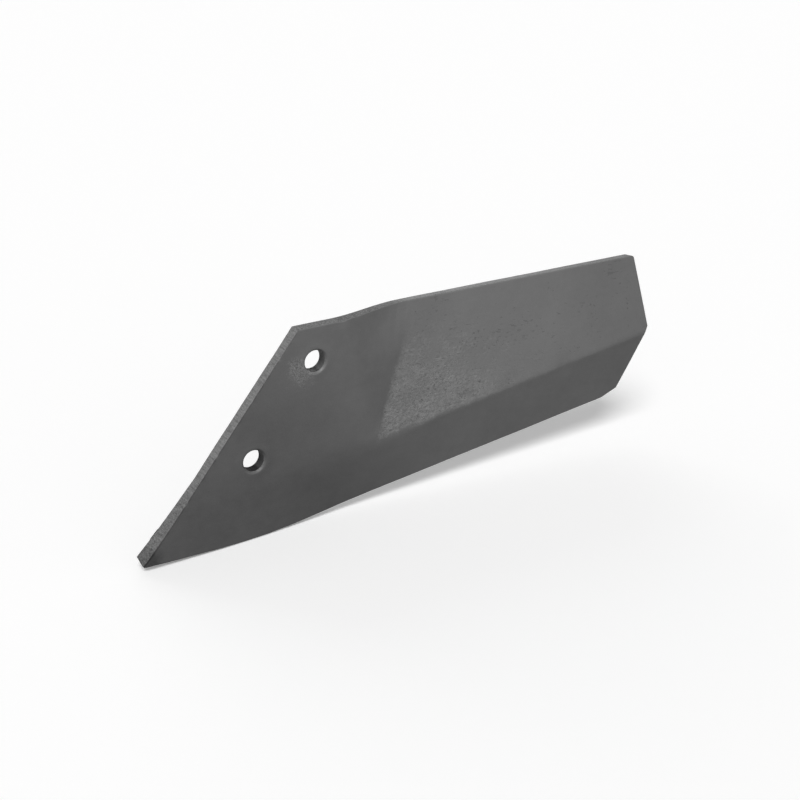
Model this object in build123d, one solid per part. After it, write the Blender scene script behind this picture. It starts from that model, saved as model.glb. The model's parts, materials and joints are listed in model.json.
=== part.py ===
from build123d import *
from math import cos, radians, sin, sqrt, tan
import os

# Side share: one bent steel plate that bolts flat against the side of a tine.
# X runs from the nose to the wing end and Z is up, with the ground side below.
# Y points back into the tine, and the back face of the bolt pad lies on Y = 0.
# The origin is the centre of the upper bolt hole on that back face.

# Plate and bolt pad
thickness = 8.0
bolt_bore = 13.5
bolt_spacing = 70.0
bolt_line_angle = 52.0
hole_lip_width = 1.2
hole_lip_depth = 1.4
left_edge_margin = 24.0
left_edge_angle = 50.6
top_edge_height = 22.5

# Bottom edge: falling a little under the pad, a slow bend, then rising along the wing
pad_height = 129.2
pad_bottom_slope = -0.0445
wing_bottom_slope = 0.107
bottom_bend_x = -34.0
bottom_bend_half_length = 32.0

# Knee, the point where the flats of the plate meet, and the ridge that runs through it
knee_x = 42.0
knee_above_bottom = 37.8
ridge_rise_angle = 7.5

# Shoulder between pad and wing, measured at the top edge and bent in small steps
shoulder_start_x = 14.0
shoulder_end_x = 72.0
folds_per_side = 4
fold_gap = 0.6

# How far each flat leans back, as a share of its height above or below the ridge
wing_lean = 0.13
lower_flat_lean = 0.176
nose_flat_lean = 0.06
nose_lean_x = -90.0
full_lean_x = 50.0

# Half width of the rounded ridge, crisp along the wing and soft across the pad
ridge_round_wing = 1.8
ridge_round_pad = 9.0
ridge_soft_x = -5.0
ridge_crisp_x = 95.0

# Wing end, cut to a blunt point
end_top_x = 258.5
end_point_x = 271.0
end_point_drop = 52.5
end_corner_x = 251.5
end_corner_drop = 98.5
end_clip_x = 237.0
end_corner_radius = 3.0

# Nose, where the shear cut runs off square and the tip is blunted
nose_flare = 3.5
nose_flare_height = 47.0
nose_blunt = 0.5
nose_blunt_lean = 8.0

# Small flat along the top and bottom edges, and the stock that the outline cuts away
edge_break = 0.5
spare = 20.0


def eased(share):
    """Smooth step from 0 to 1."""
    share = min(max(share, 0.0), 1.0)
    return share * share * (3 - 2 * share)


def between(first, last, share):
    return first + (last - first) * share


def left_edge_x(z):
    """The slanted cut of the pad runs a set margin outside the line of bolt holes."""
    line = radians(bolt_line_angle)
    cut = radians(left_edge_angle)
    foot_x = -bolt_spacing / 2 * cos(line) - left_edge_margin * sin(cut)
    foot_z = -bolt_spacing / 2 * sin(line) + left_edge_margin * cos(cut)
    return foot_x + (z - foot_z) / tan(cut)


nose_z = top_edge_height - pad_height
nose_x = left_edge_x(nose_z)


def bottom_height(x):
    """Two straight runs joined by a parabola."""
    run = x - bottom_bend_x
    half = bottom_bend_half_length
    bend_z = nose_z + pad_bottom_slope * (bottom_bend_x - nose_x)
    if run <= -half:
        return bend_z + pad_bottom_slope * run
    if run >= half:
        return bend_z + wing_bottom_slope * run
    turn = (wing_bottom_slope - pad_bottom_slope) / (4 * half)
    return bend_z + pad_bottom_slope * run + turn * (run + half) ** 2


knee_z = bottom_height(knee_x) + knee_above_bottom


def ridge_height(x):
    return knee_z + tan(radians(ridge_rise_angle)) * (x - knee_x)


def ridge_round(x):
    share = eased((ridge_crisp_x - x) / (ridge_crisp_x - ridge_soft_x))
    limit = 0.4 * (ridge_height(x) - bottom_height(x))
    return min(between(ridge_round_wing, ridge_round_pad, share), limit)


def lower_lean(x):
    share = eased((x - nose_lean_x) / (full_lean_x - nose_lean_x))
    return between(nose_flat_lean, lower_flat_lean, share)


def wing_depth(x, z):
    """How far the wing lies behind the pad."""
    return wing_lean * (z - ridge_height(x))


def upper_depth(x, z):
    """Depth of the flats above the ridge: pad, shoulder and wing, all bent about the knee."""
    rise = (z - knee_z) / (top_edge_height - knee_z)
    if z <= ridge_height(x) or rise <= 0:
        return 0.0
    top_x = knee_x + (x - knee_x) / rise
    if top_x >= shoulder_end_x:
        return wing_depth(x, z)
    share = eased((top_x - shoulder_start_x) / (shoulder_end_x - shoulder_start_x))
    return rise * share * wing_depth(top_x, top_edge_height)


def fold_tops(side_x):
    """Where the folds of one side of the knee reach the top edge, from the outermost inwards."""
    return [between(side_x, knee_x, fold / folds_per_side) for fold in range(folds_per_side)]


def fold_heights(x, low, high):
    """Heights at which the folds cross a station, kept a small gap apart at both ends."""
    heights = []
    for place, top_x in enumerate(fold_tops(shoulder_start_x if x < knee_x else shoulder_end_x)):
        height = between(knee_z, top_edge_height, (x - knee_x) / (top_x - knee_x))
        least = low + fold_gap * (place + 1)
        most = high - fold_gap * (folds_per_side - place)
        heights.append(min(max(height, least), most))
    return heights


def face_outline(x, offset):
    """Points of one face of the plate at a station, from the bottom edge to the top edge."""
    ridge_z = ridge_height(x)
    up = upper_depth(x, top_edge_height) / (top_edge_height - ridge_z)
    down = lower_lean(x)
    up_length = sqrt(1 + up * up)
    down_length = sqrt(1 + down * down)
    half = ridge_round(x)
    apex = ridge_z + offset * (down_length - up_length) / (up + down)
    bottom = bottom_height(x) + offset * down / down_length
    top = top_edge_height - offset * up / up_length

    def lower_point(z):
        return Vector(x, down * (ridge_z - z) + offset * down_length - thickness, z)

    def upper_point(z):
        return Vector(x, upper_depth(x, z) + offset * up_length - thickness, z)

    folds = fold_heights(x, apex + half, top - edge_break)
    lower = [lower_point(z) for z in (bottom, apex - half)]
    return lower + [upper_point(z) for z in (apex, apex + half, *folds, top)]


def broken_corner(corner, along, across):
    """The two ends of the small flat that breaks a corner, one on each side of it."""
    first = corner + (along - corner).normalized() * edge_break
    second = corner + (across - corner).normalized() * edge_break
    return first, second


def plate_section(x):
    """Closed profile of the plate at a station: flats, folds, a rounded ridge and broken edges."""
    front = face_outline(x, 0)
    back = face_outline(x, thickness)
    edges = []
    ends = []
    for face, other in ((front, back), (back, front)):
        low_face, low_end = broken_corner(face[0], face[1], other[0])
        high_face, high_end = broken_corner(face[-1], face[-2], other[-1])
        bottom, low, apex, high, *folds, top = face
        flats = [high, *folds, high_face]
        edges += [Line(low_end, low_face), Line(low_face, low), Bezier(low, apex, high)]
        edges += [Line(first, last) for first, last in zip(flats, flats[1:])]
        edges.append(Line(high_face, high_end))
        ends.append((low_end, high_end))
    edges += [Line(first, last) for first, last in zip(*ends)]
    return Face(Wire(edges))


def bent_plate():
    """The plate before its ends are cut, lofted through every station where a flat changes."""
    bend_steps = [bottom_bend_x + bottom_bend_half_length * step / 2 for step in range(-2, 3)]
    folds = fold_tops(shoulder_start_x) + [knee_x] + fold_tops(shoulder_end_x)
    ends = [nose_x - spare, ridge_crisp_x, end_point_x + spare]
    stations = sorted(bend_steps + folds + ends)
    return loft([plate_section(x) for x in stations], ruled=True)


def outline_at(y):
    """Outline of the end cuts at one depth, with the flare of the cut near the nose."""
    reach = nose_flare * (y + thickness) / thickness
    flare_x = -reach * sin(radians(left_edge_angle))
    flare_z = reach * cos(radians(left_edge_angle))
    over = top_edge_height + spare
    under = nose_z - spare
    flare_top = nose_z + nose_flare_height
    end_slope = (end_point_x - end_top_x) / end_point_drop
    points = [
        (left_edge_x(over), over),
        (left_edge_x(flare_top), flare_top),
        (nose_x + flare_x, nose_z + flare_z),
        (left_edge_x(under) + flare_x, under + flare_z),
        (end_clip_x, under),
        (end_clip_x, bottom_height(end_clip_x)),
        (end_corner_x, top_edge_height - end_corner_drop),
        (end_point_x, top_edge_height - end_point_drop),
        (end_top_x - end_slope * spare, over),
    ]
    return Face(Wire.make_polygon([Vector(px, y, pz) for px, pz in points], close=True))


def outline_block():
    """Block whose walls are the slanted left cut and the cuts of the wing end."""
    deepest = wing_depth(shoulder_end_x, top_edge_height) + spare
    return loft([outline_at(-thickness - spare), outline_at(deepest)], ruled=True)


def nose_cutter():
    """Block that blunts the tip, taking more from its back corner."""
    out = radians(180 + left_edge_angle / 2)
    lean = radians(nose_blunt_lean)
    away = Vector(cos(out) * cos(lean), sin(lean), sin(out) * cos(lean))
    tip = Vector(nose_x, -thickness, nose_z)
    face = Plane(origin=tip - away * nose_blunt, z_dir=away)
    size = 4 * spare
    return face * Box(size, size, size, align=(Align.CENTER, Align.CENTER, Align.MIN))


def bolt_hole(x, z):
    """Straight bore, with the lip that the punch rolled in at the front."""
    into_plate = Plane(origin=(x, -thickness, z), z_dir=(0, 1, 0))
    bore_radius = bolt_bore / 2
    bore = Cylinder(bore_radius, 2 * (thickness + spare))
    lip = Cone(bore_radius + hole_lip_width, bore_radius, hole_lip_depth)
    return into_plate * (bore + Pos(0, 0, hole_lip_depth / 2) * lip)


def with_round_corner(plate):
    """The corner between the top edge and the wing end is rounded."""
    depth = wing_depth(end_top_x, top_edge_height)
    corner = Vector(end_top_x, depth - thickness / 2, top_edge_height)
    across = min(plate.edges(), key=lambda edge: (edge.center() - corner).length)
    return fillet(across, end_corner_radius)


def share_plate():
    plate = bent_plate() & outline_block()
    plate = with_round_corner(plate) - nose_cutter()
    lower_x = -bolt_spacing * cos(radians(bolt_line_angle))
    lower_z = -bolt_spacing * sin(radians(bolt_line_angle))
    for x, z in ((0, 0), (lower_x, lower_z)):
        plate -= bolt_hole(x, z)
    return plate


os.makedirs("parts", exist_ok=True)
plate = share_plate()
export_step(plate, "parts/share_plate.step")
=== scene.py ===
# %% [markdown]
# # A forged side share
#
# A side share is a long steel plate that bolts to the side of a cultivator tine and lifts the soil.
# It is sheared from flat bar, pressed hot over a tool so that its flats meet at a knee, punched for
# two bolts and dipped in thin dark paint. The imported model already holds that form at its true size.
# This lesson takes a copy of it, gives the copy the softened edges, the uneven skin and the paint of
# a real forging, and then sets up a plain studio around it.

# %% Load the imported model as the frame
import json
import math

import bpy
from mathutils import Matrix, Vector


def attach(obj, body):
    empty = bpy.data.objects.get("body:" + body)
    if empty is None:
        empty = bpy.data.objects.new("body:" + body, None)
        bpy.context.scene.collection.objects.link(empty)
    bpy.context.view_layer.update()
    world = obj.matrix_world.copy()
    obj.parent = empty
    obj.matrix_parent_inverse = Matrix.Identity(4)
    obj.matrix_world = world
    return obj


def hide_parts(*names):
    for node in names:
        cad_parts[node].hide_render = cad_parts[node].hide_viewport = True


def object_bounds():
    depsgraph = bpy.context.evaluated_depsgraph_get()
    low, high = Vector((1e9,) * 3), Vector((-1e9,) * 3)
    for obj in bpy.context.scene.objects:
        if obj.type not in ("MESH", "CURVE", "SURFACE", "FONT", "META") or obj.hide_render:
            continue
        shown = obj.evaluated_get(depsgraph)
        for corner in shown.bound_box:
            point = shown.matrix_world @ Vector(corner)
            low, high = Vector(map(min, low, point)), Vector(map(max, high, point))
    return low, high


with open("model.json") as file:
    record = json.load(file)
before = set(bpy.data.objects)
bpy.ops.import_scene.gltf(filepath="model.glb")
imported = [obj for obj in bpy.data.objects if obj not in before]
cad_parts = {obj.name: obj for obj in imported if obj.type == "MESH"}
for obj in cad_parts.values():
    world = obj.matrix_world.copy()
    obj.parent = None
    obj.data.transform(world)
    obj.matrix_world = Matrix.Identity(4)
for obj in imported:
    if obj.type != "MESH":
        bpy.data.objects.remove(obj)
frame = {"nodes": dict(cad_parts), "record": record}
cad_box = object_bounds()
node = frame["nodes"]["share_plate"]
mm = 0.001
print("frame:", len(node.data.polygons), "triangles, box in mm",
      [round((high - low) / mm, 1) for low, high in zip(*cad_box)])

# %% [markdown]
# ## A clean copy of the plate
#
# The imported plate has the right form, but it is made of long thin triangles with doubled corners.
# Such a mesh can't be bevelled or dented. It could be redrawn by hand over the old one, which would
# lose the exact sizes. Here its doubled corners are merged and its triangles are dissolved into the
# flats that a forger would name: pad, shoulder, wing and lower flat, with true edges between them.

# %% Copy the plate and join its triangles into flats
corner_gap = 0.002 * mm
flat_turn = math.radians(0.4)


def only(piece):
    """Select one object alone and make it active."""
    bpy.ops.object.select_all(action="DESELECT")
    piece.select_set(True)
    bpy.context.view_layer.objects.active = piece


share = bpy.data.objects.new("forged_share", node.data.copy())
bpy.context.scene.collection.objects.link(share)
only(share)
bpy.ops.mesh.customdata_custom_splitnormals_clear()
bpy.ops.object.mode_set(mode="EDIT")
bpy.ops.mesh.select_all(action="SELECT")
bpy.ops.mesh.remove_doubles(threshold=corner_gap)
bpy.ops.mesh.dissolve_limited(angle_limit=flat_turn)
bpy.ops.object.mode_set(mode="OBJECT")
print("share:", len(share.data.polygons), "flats")

# %% [markdown]
# ## Rolled lips
#
# A punch drags steel in with it, so the front of each hole has a rolled lip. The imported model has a
# plain cone there. A torus could be fused on, but the cone already has the right place and size, so
# both of its rims are found by their distance from the hole and bevelled, which rolls it over.

# %% Roll the lips of the bolt holes
bores = [mount for mount in frame["record"]["mounts"] if mount["kind"] == "bore"]
hole_places = [Vector(bore["pos_m"]) for bore in bores]
bore_radius = bores[0]["dims"]["r_mm"] * mm
pad_front_y = cad_box[0].y
lip_width = 1.4 * mm
lip_depth = 1.6 * mm
lip_roll = 0.42 * mm
lip_steps = 4
hair = 0.02 * mm


def from_hole(point, hole):
    """Distance of a point from the line through the middle of a hole."""
    return math.hypot(point.x - hole.x, point.z - hole.z)


def rings_a_lip(edge):
    """True for an edge that runs around the cone at the front of a hole."""
    first, last = (share.data.vertices[end].co for end in edge.vertices)
    if abs(first.y - last.y) > hair or first.y > pad_front_y + lip_depth:
        return False
    for hole in hole_places:
        near, far = sorted((from_hole(first, hole), from_hole(last, hole)))
        if far - near < hair and bore_radius - hair < near < bore_radius + lip_width:
            return True
    return False


bpy.ops.object.mode_set(mode="EDIT")
bpy.ops.mesh.select_mode(type="EDGE")
bpy.ops.mesh.select_all(action="DESELECT")
bpy.ops.object.mode_set(mode="OBJECT")
lip_edges = [edge for edge in share.data.edges if rings_a_lip(edge)]
for edge in lip_edges:
    edge.select = True
bpy.ops.object.mode_set(mode="EDIT")
bpy.ops.mesh.bevel(offset=lip_roll, segments=lip_steps, affect="EDGES", clamp_overlap=False)
bpy.ops.object.mode_set(mode="OBJECT")
print("lips rolled around", len(lip_edges), "edges")


# %% [markdown]
# ## Softened edges
#
# Sheared edges are never razor sharp, because scale and paint round them by a few tenths of a
# millimetre. A trick in the shader could fake that from close by, but real geometry is what catches
# the light in every view. A bevel modifier finds the edges by their angle: the square ones first,
# then the shallow ones, which have less room.

# %% Break the outer edges
def soften_edges(name, width, segments, angle):
    """Bevel every edge that turns by more than the angle."""
    soften = share.modifiers.new(name, "BEVEL")
    soften.width = width
    soften.segments = segments
    soften.limit_method = "ANGLE"
    soften.angle_limit = math.radians(angle)
    soften.use_clamp_overlap = False
    bpy.ops.object.modifier_apply(modifier=soften.name)
    print(name + ":", len(share.data.polygons), "faces")


only(share)
soften_edges("sheared edges", width=0.28 * mm, segments=3, angle=58)
soften_edges("shallow edges", width=0.14 * mm, segments=2, angle=36)

# %% [markdown]
# ## A mesh that can be forged
#
# The flats are still single faces, and a single face can't be hammered. Subdividing would follow
# their odd outlines, and a remesh would melt the edges. Slicing the plate by evenly spaced planes
# gives small squares everywhere and keeps each edge where it is. The slivers that the planes leave
# beside old corners are merged away.

# %% Slice it into small squares
slice_step = 1.3 * mm
sliver = 0.02 * mm


def slice_along(axis):
    """Cut the share by evenly spaced planes square to one axis."""
    low = cad_box[0][axis]
    high = cad_box[1][axis]
    cuts = int((high - low) / slice_step)
    normal = Vector()
    normal[axis] = 1
    for cut in range(1, cuts):
        through = Vector()
        through[axis] = low + (high - low) * cut / cuts
        bpy.ops.mesh.select_all(action="SELECT")
        bpy.ops.mesh.bisect(plane_co=through, plane_no=normal)


bpy.ops.object.mode_set(mode="EDIT")
for axis in range(3):
    slice_along(axis)
bpy.ops.mesh.select_all(action="SELECT")
bpy.ops.mesh.remove_doubles(threshold=sliver)
bpy.ops.object.mode_set(mode="OBJECT")
print("sliced:", len(share.data.polygons), "faces")

# %% [markdown]
# ## The bends
#
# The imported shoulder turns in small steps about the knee. On the real plate the tool has pressed it
# nearly flat, up to one crisp crease against the wing, and only the free edge at the top keeps a
# slow curve. Bending each face again would be a job of its own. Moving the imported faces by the
# difference, front and back alike, is short and keeps the plate at its full thickness.

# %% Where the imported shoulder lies
knee = Vector((42, 0, -64.49)) * mm
top_z = cad_box[1].z
ridge_slope = math.tan(math.radians(7.5))
wing_lean = 0.13
shoulder_start = 14 * mm
shoulder_end = 72 * mm
folds_per_side = 4
left_step = (knee.x - shoulder_start) / folds_per_side
right_step = (shoulder_end - knee.x) / folds_per_side
left_folds = [shoulder_start + left_step * fold for fold in range(folds_per_side)]
folds = left_folds + [knee.x + right_step * fold for fold in range(folds_per_side + 1)]


def eased(way):
    """Smooth step from 0 to 1."""
    way = min(max(way, 0.0), 1.0)
    return way * way * (3 - 2 * way)


def wing_depth(x):
    """How far back the wing lies at the top edge."""
    return wing_lean * (top_z - knee.z - ridge_slope * (x - knee.x))


def fold_depth(x):
    """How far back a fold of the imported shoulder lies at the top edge."""
    return eased((x - shoulder_start) / (shoulder_end - shoulder_start)) * wing_depth(x)


def packed_depth(x):
    """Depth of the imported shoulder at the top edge, in straight runs between its folds."""
    for first, last in zip(folds, folds[1:]):
        if first <= x < last:
            way = (x - first) / (last - first)
            return fold_depth(first) * (1 - way) + fold_depth(last) * way
    return wing_depth(x)


print("packed shoulder:", len(folds), "folds, up to", round(wing_depth(shoulder_end) / mm, 1), "mm back")

# %% Press the shoulder up to its crease
crease_start = 25 * mm
crease_end = 80 * mm
free_edge = 0.45


def pressed_depth(x):
    """Depth of the pressed shoulder: one straight run up to the crease."""
    way = (x - crease_start) / (crease_end - crease_start)
    return packed_depth(crease_start) * (1 - way) + wing_depth(crease_end) * way


def forward(point):
    """How far the tool pushes a point of the shoulder towards the front."""
    rise = (point.z - knee.z) / (top_z - knee.z)
    if rise <= 0:
        return 0.0
    top_x = knee.x + (point.x - knee.x) / rise
    if not crease_start < top_x < crease_end:
        return 0.0
    return rise * eased((1 - rise) / free_edge) * (packed_depth(top_x) - pressed_depth(top_x))


furthest = 0.0
for vertex in share.data.vertices:
    push = forward(vertex.co)
    vertex.co.y -= push
    furthest = max(furthest, push)
print("shoulder pressed forward by up to", round(furthest / mm, 2), "mm")

# %% [markdown]
# ## Flowing bends
#
# Hot steel flows round its bends, so no fold is a hard line. A smooth modifier evens them out. It
# would melt the edges of the plate as well, so it works through a vertex group whose weight is full
# on the open faces and fades out towards the edges and holes.

# %% Let the bends flow
flow_rounds = 12
flow_share = 0.5
edge_strip = 1.0 * mm
edge_fade = 2.5 * mm
lip_strip = 8.7 * mm
lip_fade = 4 * mm
flow_left = -40 * mm
left_fade = 30 * mm
flow_right = 262 * mm
right_fade = 14 * mm
pad_bottom_z = -111.95 * mm
pad_bottom_slope = -0.0445
wing_bottom_z = -106.8 * mm
wing_bottom_slope = 0.107


def bottom_height(x):
    """Height of the bottom edge: nearly level under the pad, then rising along the wing."""
    return max(pad_bottom_z + pad_bottom_slope * x, wing_bottom_z + wing_bottom_slope * x)


def hole_room(point):
    """0 in the holes and on their lips, 1 some way off."""
    return eased((min(from_hole(point, hole) for hole in hole_places) - lip_strip) / lip_fade)


def openness(point):
    """1 on the open faces, 0 at the edges, at the holes and beyond the bends."""
    room = min(top_z - point.z, point.z - bottom_height(point.x))
    left = (point.x - flow_left) / left_fade
    right = (flow_right - point.x) / right_fade
    return eased((room - edge_strip) / edge_fade) * eased(left) * eased(right) * hole_room(point)


def weigh(name, weight):
    """Make a vertex group from a function of the place of a point."""
    group = share.vertex_groups.new(name=name)
    for vertex in share.data.vertices:
        group.add([vertex.index], weight(vertex.co), "REPLACE")
    return group


open_faces = weigh("open faces", openness)
flow = share.modifiers.new("flowing bends", "SMOOTH")
flow.factor = flow_share
flow.iterations = flow_rounds
flow.vertex_group = open_faces.name
bpy.ops.object.modifier_apply(modifier=flow.name)
print("bends smoothed in", flow_rounds, "rounds")

# %% [markdown]
# ## The forged skin
#
# A pressed plate is never quite flat. Displace modifiers with cloud textures press slow hollows and
# small dimples into it. They could be sculpted, but a texture covers both sides evenly and gives the
# same result each time. They only push inwards, so the share stays inside its true size, and they
# leave the punched holes alone, because a bolt has to pass.

# %% Press slow hollows and small dimples into it
clear_of_holes = weigh("clear of the holes", hole_room)


def press(name, scale, deepest):
    """Displace the surface inwards by up to the deepest, in a cloud pattern of that scale."""
    pattern = bpy.data.textures.new(name, "CLOUDS")
    pattern.noise_scale = scale
    pattern.noise_depth = 1
    pressed = share.modifiers.new(name, "DISPLACE")
    pressed.texture = pattern
    pressed.texture_coords = "LOCAL"
    pressed.strength = deepest
    pressed.mid_level = 1.0
    pressed.vertex_group = clear_of_holes.name
    bpy.ops.object.modifier_apply(modifier=pressed.name)
    print(name + ": up to", round(deepest / mm, 2), "mm deep")


press("slow hollows", scale=34 * mm, deepest=0.3 * mm)
press("small dimples", scale=6 * mm, deepest=0.08 * mm)

# %% [markdown]
# ## Nicks and dents
#
# The shear and the tumbling with other shares leave a few nicks along the front edges and soft dents
# on the ridge. They could be cut with small solids, but such a cut is too clean for a bruise. Each
# one here moves the points around one spot along one direction, most at its middle and not at all at
# its rim. The list gives place, radius and push in millimetres: first the slanted cut, then the top
# edge, the tip and the ridge.

# %% Nick the front edges and dent the ridge
smooth_turn = math.radians(40)
nicks = [
    ((-42.3, -8, -16.8), 2.8, (0.5, 0.15, -0.45)),
    ((-67, -8, -45.0), 2.6, (0.35, 0.15, -0.3)),
    ((-24, -8, 7.2), 2.4, (0.3, 0.15, -0.25)),
    ((-88, -8, -71.0), 3.0, (0.4, 0.15, -0.35)),
    ((19, -8, 22.5), 7.0, (0, 0.2, -0.7)),
    ((31, -7.5, 22.5), 4.0, (0, 0.2, -0.35)),
    ((-117.5, -7, -106), 3.5, (0.5, 0.5, 0.1)),
    ((100, -8, -56.9), 12.0, (0, 0.35, 0.2)),
    ((150, -8, -50.3), 14.0, (0, 0.35, -0.3)),
    ((196, -8, -44.2), 12.0, (0, 0.4, 0.3)),
]


def nick(middle, radius, push):
    """Push the points around a middle, fading out to nothing at the radius."""
    moved = 0
    for vertex in share.data.vertices:
        way = 1 - (vertex.co - Vector(middle) * mm).length / (radius * mm)
        if way > 0:
            vertex.co += Vector(push) * mm * eased(way)
            moved += 1
    return moved


only(share)
print("nicks and dents moved", sum(nick(*one) for one in nicks), "points")
bpy.ops.object.shade_smooth_by_angle(angle=smooth_turn)


# %% [markdown]
# ## The paint
#
# The real finish is one thin dip of dark grey paint. It follows the forged skin, so every patch of
# scale, drag mark and shear line still shows in it. A photograph wrapped around the plate would show
# its own light and smear on the cut faces. A paint made of noise and of the places on the share is
# right from every side. It takes many sums of masks, so a small class turns Python's operators into
# Math nodes, and the paint can then be written as plain formulas.

# %% Shader maths
class Value:
    """A socket that Python operators can add Math nodes to."""

    def __init__(self, tree, socket=None):
        self.tree = tree
        self.socket = socket

    def node(self, kind, settings=None, inputs=None, output=0):
        """Add a node, make its settings, fill or link its sockets and give one output."""
        made = self.tree.nodes.new("ShaderNode" + kind)
        for name, setting in (settings or {}).items():
            setattr(made, name, setting)
        for name, value in (inputs or {}).items():
            if isinstance(value, Value):
                self.tree.links.new(value.socket, made.inputs[name])
            else:
                made.inputs[name].default_value = value
        return Value(self.tree, made.outputs[output])

    def math(self, operation, *others):
        """Add a Math node that works on this value and the others."""
        places = dict(enumerate((self,) + others))
        return self.node("Math", {"operation": operation}, places)

    def __add__(self, other):
        return self.math("ADD", other)

    def __sub__(self, other):
        return self.math("SUBTRACT", other)

    def __rsub__(self, other):
        return self * -1 + other

    def __mul__(self, other):
        return self.math("MULTIPLY", other)

    __radd__ = __add__
    __rmul__ = __mul__


# %% [markdown]
# All patterns use the share's own coordinates in millimetres, so they stay on it when it moves. A
# ramp fades a mask in between two values, a cloud is noise around zero, and the facing tells which
# way a point of the surface looks.

# %% Coordinates, ramps and clouds
paint = bpy.data.materials.new("dark_dip_paint")
paint.use_nodes = True
tree = paint.node_tree
coat = Value(tree)
spot = coat.node("VectorMath", {"operation": "SCALE"},
                 {"Vector": coat.node("TexCoord", output="Object"), "Scale": 1 / mm})
facing = coat.node("NewGeometry", output="Normal")


def split(vector):
    """The X, Y and Z of a vector as three values."""
    return [coat.node("SeparateXYZ", inputs={"Vector": vector}, output=way) for way in "XYZ"]


def ramp(value, low, high):
    """Smooth step from 0 at the low value to 1 at the high one."""
    return coat.node("MapRange", {"interpolation_type": "SMOOTHSTEP"},
                     {"Value": value, "From Min": low, "From Max": high})


def cloud(scale, detail=2.0, stretch=(1, 1, 1)):
    """Noise around zero, with its scale in patches per millimetre."""
    stretched = coat.node("VectorMath", {"operation": "MULTIPLY"}, {0: spot, 1: stretch})
    noise = coat.node("TexNoise", inputs={"Vector": stretched, "Scale": scale, "Detail": detail})
    return noise - 0.5


def away_from(place):
    """Distance from a place on the share."""
    return coat.node("VectorMath", {"operation": "DISTANCE"}, {0: spot, 1: place}, "Value")


along, depth, height = split(spot)
facing_right, facing_back, facing_up = split(facing)
broken = cloud(0.16, 4)
print("coordinates:", len(tree.nodes), "nodes")

# %% [markdown]
# The paint is built in layers, and first come the masks that say where each layer goes. The sheared
# faces don't look to the front or back. Painted shade darkens the holes, most of all low on their
# walls, where little light comes in. A thin painted shadow line runs along the front edge of the
# slanted cut, a light scuff lies beside the upper hole, and the tip was blunted. In each ramp the
# numbers are millimetres or shares of a facing, and a factor on the broken cloud is how far that
# cloud moves the border.

# %% Masks of the holes, cuts, scuff and tip
wall_from = bore_radius / mm + 0.65
wall_to = bore_radius / mm + 0.25
cut_angle = math.radians(50.6)
cut_margin = 24
hole_middle = (hole_places[0] + hole_places[1]) / 2 / mm
scuff_place = (-9, -8, -4)
tip_place = (-116, -4, -104)


def bore_wall(hole):
    """1 on the wall of a hole, behind its lip."""
    level = coat.node("VectorMath", {"operation": "MULTIPLY"}, {0: spot, 1: (1, 0, 1)})
    off_line = coat.node("VectorMath", {"operation": "DISTANCE"}, {0: level, 1: hole / mm}, "Value")
    return ramp(off_line, wall_from, wall_to) * ramp(depth, -7.0, -6.4)


walls = [bore_wall(hole) for hole in hole_places]
# painted shade in the holes, darkest low on their walls, where little light comes in
painted_shade_in_holes = sum(wall * ramp(height - hole.z / mm, 5, -3) for wall, hole in zip(walls, hole_places))
sheared = ramp(facing_back.math("ABSOLUTE"), 0.75, 0.45) * (1 - sum(walls))
left_cut = sheared * ramp(facing_right, -0.35, -0.6)
# painted shade on the upward faces of the top edge over the pad
painted_shade_on_pad_top = ramp(facing_up, 0.8, 0.95) * ramp(along, 78, 58)
off_cut = ((along - hole_middle.x) * math.sin(cut_angle)
           - (height - hole_middle.z) * math.cos(cut_angle) + cut_margin)
# a thin painted shadow line on the front face along the slanted cut
painted_burr_shadow = ramp(off_cut + cloud(0.4, 3) * 2.5, 1.3, 0.5) * (1 - sheared)
scuffed = ramp(away_from(scuff_place) + broken * 22, 13, 4)
tip = ramp(away_from(tip_place) + broken * 6, 14, 6)
print("masks of the cuts:", len(tree.nodes), "nodes")

# %% [markdown]
# The flats have masks of their own, measured from the ridge, from the crease and from the first fold
# of the shoulder. The tool was drawn over the wing beside the crease and left it rough, and a painted
# sheen makes that patch light. Painted shade makes the plate darker towards the nose, and painted light
# lifts the pad beside the slanted cut.

# %% Masks of the wing, shoulder and pad
crease_lean = 0.42
fold_lean = (knee.x - shoulder_start) / (top_z - knee.z)
fold_foot = (shoulder_start + fold_lean * top_z) / mm
over_ridge = height - ((along - knee.x / mm) * ridge_slope + knee.z / mm)
past_crease = along - knee.x / mm - over_ridge * crease_lean
past_fold = along + height * fold_lean - fold_foot
wing = ramp(past_crease + broken * 12, -2, 3) * ramp(over_ridge + broken * 6, -1, 3)
# the rough patch on the wing beside the crease, which also gets a painted sheen in the tone
dragged_with_painted_sheen = (wing * ramp(over_ridge + broken * 70 + past_crease * 0.35, 82, 24)
           * ramp(along + broken * 130, 190, 78))
by_ridge = dragged_with_painted_sheen * ramp(over_ridge, 2, 5) * ramp(over_ridge + broken * 10, 12, 7)
shoulder = (ramp(past_fold, -4, 14) * ramp(past_crease, 2, -1)
            * ramp(over_ridge, 0, 4) * ramp(height, 10, -20))
# painted light on the pad beside the slanted cut, fading out downwards
painted_light_by_cut = ramp(off_cut, 36, 8) * ramp(height, -85, -30)
# painted shade: the plate grows darker towards the nose and the bottom of the pad
painted_shade_towards_nose = ramp(along * -0.75 - height * 0.65 + broken * 10, -15, 62)
print("masks of the flats:", len(tree.nodes), "nodes")

# %% [markdown]
# Pits are where scale fell off before the dip. A Voronoi texture gives one round spot per cell. Its
# coordinates are shaken by noise, so that the spots are ragged, and slow clouds thin them out, so
# they come in loose groups as on the real plate. Marks and lines are clouds that are stretched along
# the way that the steel was dragged or cut.

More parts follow.
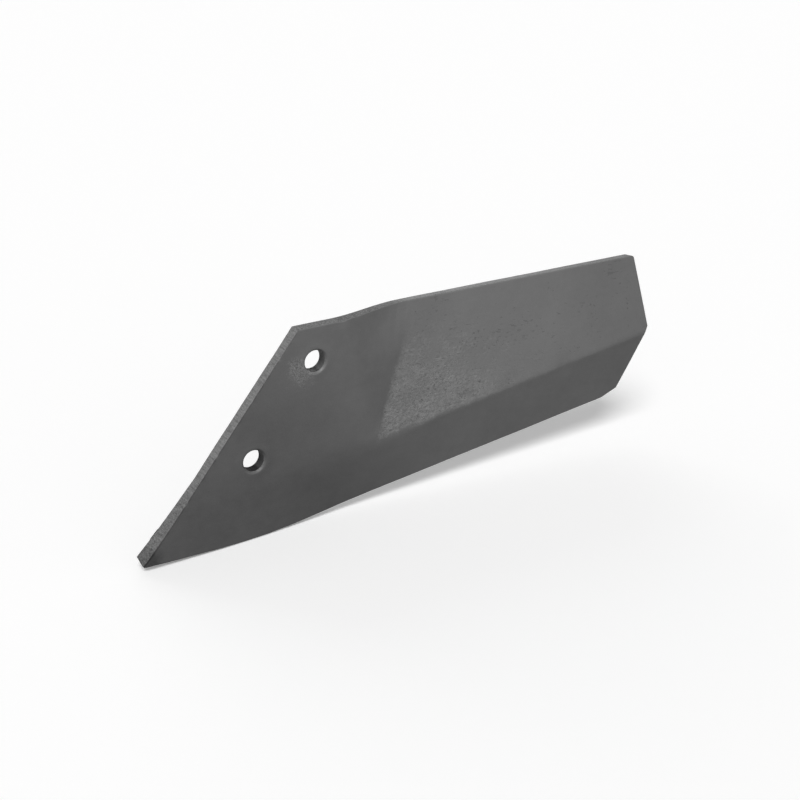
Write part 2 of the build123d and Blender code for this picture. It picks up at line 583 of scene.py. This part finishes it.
# %% Pits, flecks, marks and lines
ragged = coat.node("TexNoise", inputs={"Vector": spot, "Scale": 0.7}, output="Color")
ragged_spot = coat.node("VectorMath", {"operation": "MULTIPLY_ADD"}, {0: ragged, 1: (3, 3, 3), 2: spot})


def spots(scale, size, rim, core):
    """Ragged spots, one in each cell, with the size of the largest as a share of the cell."""
    cells = coat.node("TexVoronoi", inputs={"Vector": ragged_spot, "Scale": scale}, output="Distance")
    return ramp(cells - size, rim, core)


crust = cloud(0.5, 4)
grain = cloud(1.5, 2)
patches = ramp(cloud(0.09, 3), -0.08, 0.1)
loose_groups = cloud(0.035, 2)
pit_size = ramp(cloud(0.045, 2) + dragged_with_painted_sheen * 0.14, -0.03, 0.3) * 0.26
pits = spots(0.34, pit_size, 0.06, -0.04) * (0.1 + wing * 0.9)
fleck_size = ramp(cloud(0.08, 2), -0.02, 0.3) * 0.24
flecks = spots(0.8, fleck_size, 0.06, -0.02) * (0.2 + wing * 0.8)
short_dashes = cloud(0.55, 4, (0.5, 1, 1))
marks = wing * ramp(short_dashes + dragged_with_painted_sheen * 0.03 + by_ridge * 0.08 + loose_groups * 0.45, 0.15, 0.23)
cut_lines = cloud(1.1, 3, (1, 0.1, 1))
drag_lines = cloud(0.9, 3, (0.1, 1, 1))
print("pits and marks:", len(tree.nodes), "nodes")

# %% [markdown]
# The tone starts from one even grey, and each layer makes it lighter or darker by a share of itself,
# which is the factor at the end of its mask. The scuff is light, and pits, flecks, marks and grooves
# are dark. A painted sheen lights the rough patch on the wing, painted light lifts the wing, the lower
# flat, the pad beside the slanted cut and the upper part of that cut, and painted shade darkens the
# holes, the shoulder, the plate towards the nose, the top face over the pad and a line along the
# slanted cut. The tip is darker.

# %% Tone
base_tone = 0.18
mottled = cloud(0.03, 3) * 0.2 + broken * 0.16 + grain * 0.2 + drag_lines * 0.06
# rough texture on that patch, and a painted sheen that makes it lighter
rough_wing_and_painted_sheen = dragged_with_painted_sheen * (0.5 + patches * 0.7) * (crust * 1.1 + grain * 0.9 + drag_lines * 0.3 + 0.22)
# painted light: lighter on the wing short of its end, and on the lower flat towards the wing end
painted_light_on_wing = wing * ramp(along, 240, 180) * ramp(past_crease, 10, 50) * 0.1
painted_light_on_lower_flat = ramp(over_ridge, 0, -6) * ramp(along, 40, 120) * 0.06
# a real scuff beside the upper hole, plus the painted light on the pad beside the slanted cut
rubbed_and_painted_light = scuffed * (0.26 + grain * 2.2 + crust * 1.4) + painted_light_by_cut * 0.07
# sheared texture, painted light higher up the slanted cut with painted shade at its foot, and painted shade
# on the top face over the pad
cut_steel_and_painted_shading = (sheared * (cut_lines * 1.3 + grain * 1.7)
             + left_cut * (ramp(height, -100, -30) * 0.2 - 0.07) - painted_shade_on_pad_top * 0.32)
# painted shade towards the nose, on the shoulder and in the holes, and a darker tip
painted_shade_and_dark_tip = painted_shade_towards_nose * (1 - sheared * 0.8) * 0.28 + shoulder * 0.08 + tip * 0.3 + painted_shade_in_holes * 0.5
# dark pits, flecks and marks, and the painted shadow line along the slanted cut
dark_spots_and_edge_shadow = painted_burr_shadow * 0.22 + pits * 0.26 + flecks * 0.16 + marks * 0.2
tone = 1 + mottled + rough_wing_and_painted_sheen + painted_light_on_wing + painted_light_on_lower_flat + rubbed_and_painted_light + cut_steel_and_painted_shading - painted_shade_and_dark_tip - dark_spots_and_edge_shadow
grey = tone * base_tone
colour = coat.node("CombineColor", inputs={"Red": grey, "Green": grey, "Blue": grey})
print("tone:", len(tree.nodes), "nodes")

# %% [markdown]
# Dip paint has a low sheen, a little duller on the cut faces and in the holes. The finest relief is
# a tenth of a millimetre or less, too small for the mesh, so it is a bump, in millimetres too.

# %% Gloss and relief
base_gloss = 0.42
gloss = (base_gloss + broken * 0.12 + grain * 0.1 + sheared * 0.14 - dragged_with_painted_sheen * 0.06 - scuffed * 0.04
         + painted_shade_in_holes * 0.3 + painted_shade_on_pad_top * 0.14)
skin = grain * 0.02 + crust * 0.05 + drag_lines * 0.01
rough_skin = dragged_with_painted_sheen * (crust * 0.35 + grain * 0.1) + scuffed * (crust * 0.2 + grain * 0.08)
cut_skin = sheared * (cut_lines * 0.16 + grain * 0.08) + tip * crust * 0.4
relief = skin + rough_skin + cut_skin - pits * 0.1 - flecks * 0.04 - marks * 0.06
bumped = coat.node("Bump", inputs={"Strength": 1.0, "Distance": mm, "Height": relief})
shader = tree.nodes["Principled BSDF"]
tree.links.new(colour.socket, shader.inputs["Base Color"])
tree.links.new(gloss.socket, shader.inputs["Roughness"])
tree.links.new(bumped.socket, shader.inputs["Normal"])
share.data.materials.clear()
share.data.materials.append(paint)
print("paint:", len(tree.nodes), "nodes")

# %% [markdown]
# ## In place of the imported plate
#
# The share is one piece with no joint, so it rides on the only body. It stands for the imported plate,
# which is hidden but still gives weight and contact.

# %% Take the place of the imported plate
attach(share, "root")
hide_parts("share_plate")
print(share.name, "stands for share_plate")

# %% [markdown]
# ## The studio
#
# The studio has a pale floor, soft light and a camera. A white floor throws so much light up that
# the four flats of the share would all look alike. A darker floor would look dull, so the white one
# is kept out of the light that the share receives, and the lower half of the world stands in for it.

# %% Floor
floor_size = 16.0
floor_gap = 0.1 * mm
floor_white = 0.92
floor_glow = 0.16
bpy.ops.object.select_all(action="DESELECT")
bpy.ops.mesh.primitive_plane_add(size=floor_size, location=(0, 0, cad_box[0].z - floor_gap))
floor = bpy.context.object
floor.name = "floor"
floor.visible_diffuse = False
floor.visible_glossy = False
floor_paint = bpy.data.materials.new("pale_floor")
floor_paint.use_nodes = True
floor_shader = floor_paint.node_tree.nodes["Principled BSDF"]
floor_shader.inputs["Base Color"].default_value = (floor_white, floor_white, floor_white, 1)
floor_shader.inputs["Roughness"].default_value = 1.0
floor_shader.inputs["Specular IOR Level"].default_value = 0.0
floor_shader.inputs["Emission Color"].default_value = (1, 1, 1, 1)
floor_shader.inputs["Emission Strength"].default_value = floor_glow
floor.data.materials.append(floor_paint)
print("floor at", round(floor.location.z / mm, 1), "mm")

# %% [markdown]
# The camera looks from the front left and a little from above. It could be aimed by a constraint,
# but its turn, rise and roll are known, so its three directions are worked out from them and set as
# a matrix. It is moved sideways in its own picture plane to put the share where it belongs.

# %% Camera
camera_turn = math.radians(-33.314)
camera_rise = math.radians(23.638)
camera_roll = math.radians(0.597)
camera_distance = 781.9 * mm
picture_shift = Vector((-54.58, 25.58)) * mm
flat_right = Vector((math.cos(camera_turn), math.sin(camera_turn), 0))
backward = Vector((math.sin(camera_turn) * math.cos(camera_rise),
                   -math.cos(camera_turn) * math.cos(camera_rise),
                   math.sin(camera_rise)))
level_up = backward.cross(flat_right)
right = flat_right * math.cos(camera_roll) + level_up * math.sin(camera_roll)
up = level_up * math.cos(camera_roll) - flat_right * math.sin(camera_roll)
camera_place = backward * camera_distance - right * picture_shift.x - up * picture_shift.y
turned = Matrix((right, up, backward)).transposed().to_4x4()
bpy.ops.object.camera_add(location=camera_place)
camera = bpy.context.object
camera.matrix_world = Matrix.Translation(camera_place) @ turned
camera.data.lens = 58.5
camera.data.sensor_width = 36
camera.data.clip_start = 0.01
bpy.context.scene.camera = camera
print("camera:", round(camera_place.length / mm), "mm from the upper hole")

# %% [markdown]
# A dark plate shows its form by small steps of grey between its flats, and those come from soft
# light with a direction. The world glows most at eye level and less from below and overhead, and the
# camera sees it as plain white.

# %% World
ground_light = 0.2
sky_light = 0.45
overhead_loss = 0.6
world = bpy.data.worlds.new("studio")
world.use_nodes = True
bpy.context.scene.world = world
sky = Value(world.node_tree)
sky_height = sky.node("SeparateXYZ", inputs={"Vector": sky.node("TexCoord", output="Generated")}, output="Z")
low_glow = sky.node("MapRange", {"interpolation_type": "SMOOTHSTEP"},
                    {"Value": sky_height, "From Min": -0.35, "From Max": 0.15,
                     "To Min": ground_light, "To Max": sky_light})
overhead = sky.node("MapRange", {"interpolation_type": "SMOOTHSTEP"},
                    {"Value": sky_height, "From Min": 0.2, "From Max": 1.0})
glow = low_glow * (1 - overhead * overhead_loss)
seen = sky.node("LightPath", output="Is Camera Ray")
shown = glow * (1 - seen) + seen
background = world.node_tree.nodes["Background"]
background.inputs["Color"].default_value = (1, 1, 1, 1)
world.node_tree.links.new(shown.socket, background.inputs["Strength"])
bpy.context.scene.view_settings.view_transform = "Standard"
print("world:", len(world.node_tree.nodes), "nodes")


# %% [markdown]
# Area lights would fade across the long plate, so the lamps are wide suns: a key from the left, a
# weaker one from behind, and a card that only shows in the gloss, as a strip of white board does
# beside a real still life.

# %% Lamps
def soft_sun(name, turn, rise, spread, strength):
    """A wide sun, so that its light is even over the whole floor and its shadows are soft."""
    bpy.ops.object.light_add(type="SUN", location=(0, 0, 1))
    sun = bpy.context.object
    sun.name = name
    sun.data.angle = math.radians(spread)
    sun.data.energy = strength
    sun.rotation_euler = (math.radians(90 - rise), 0, math.radians(turn))
    print(name + ": turned", turn, "degrees,", rise, "degrees up")
    return sun


soft_sun("key from the left", turn=-36, rise=57, spread=30, strength=2.0)
soft_sun("back light", turn=165, rise=24, spread=50, strength=0.6)
sheen_card = soft_sun("card that shows in the gloss", turn=20, rise=4, spread=40, strength=0.5)
sheen_card.visible_diffuse = False
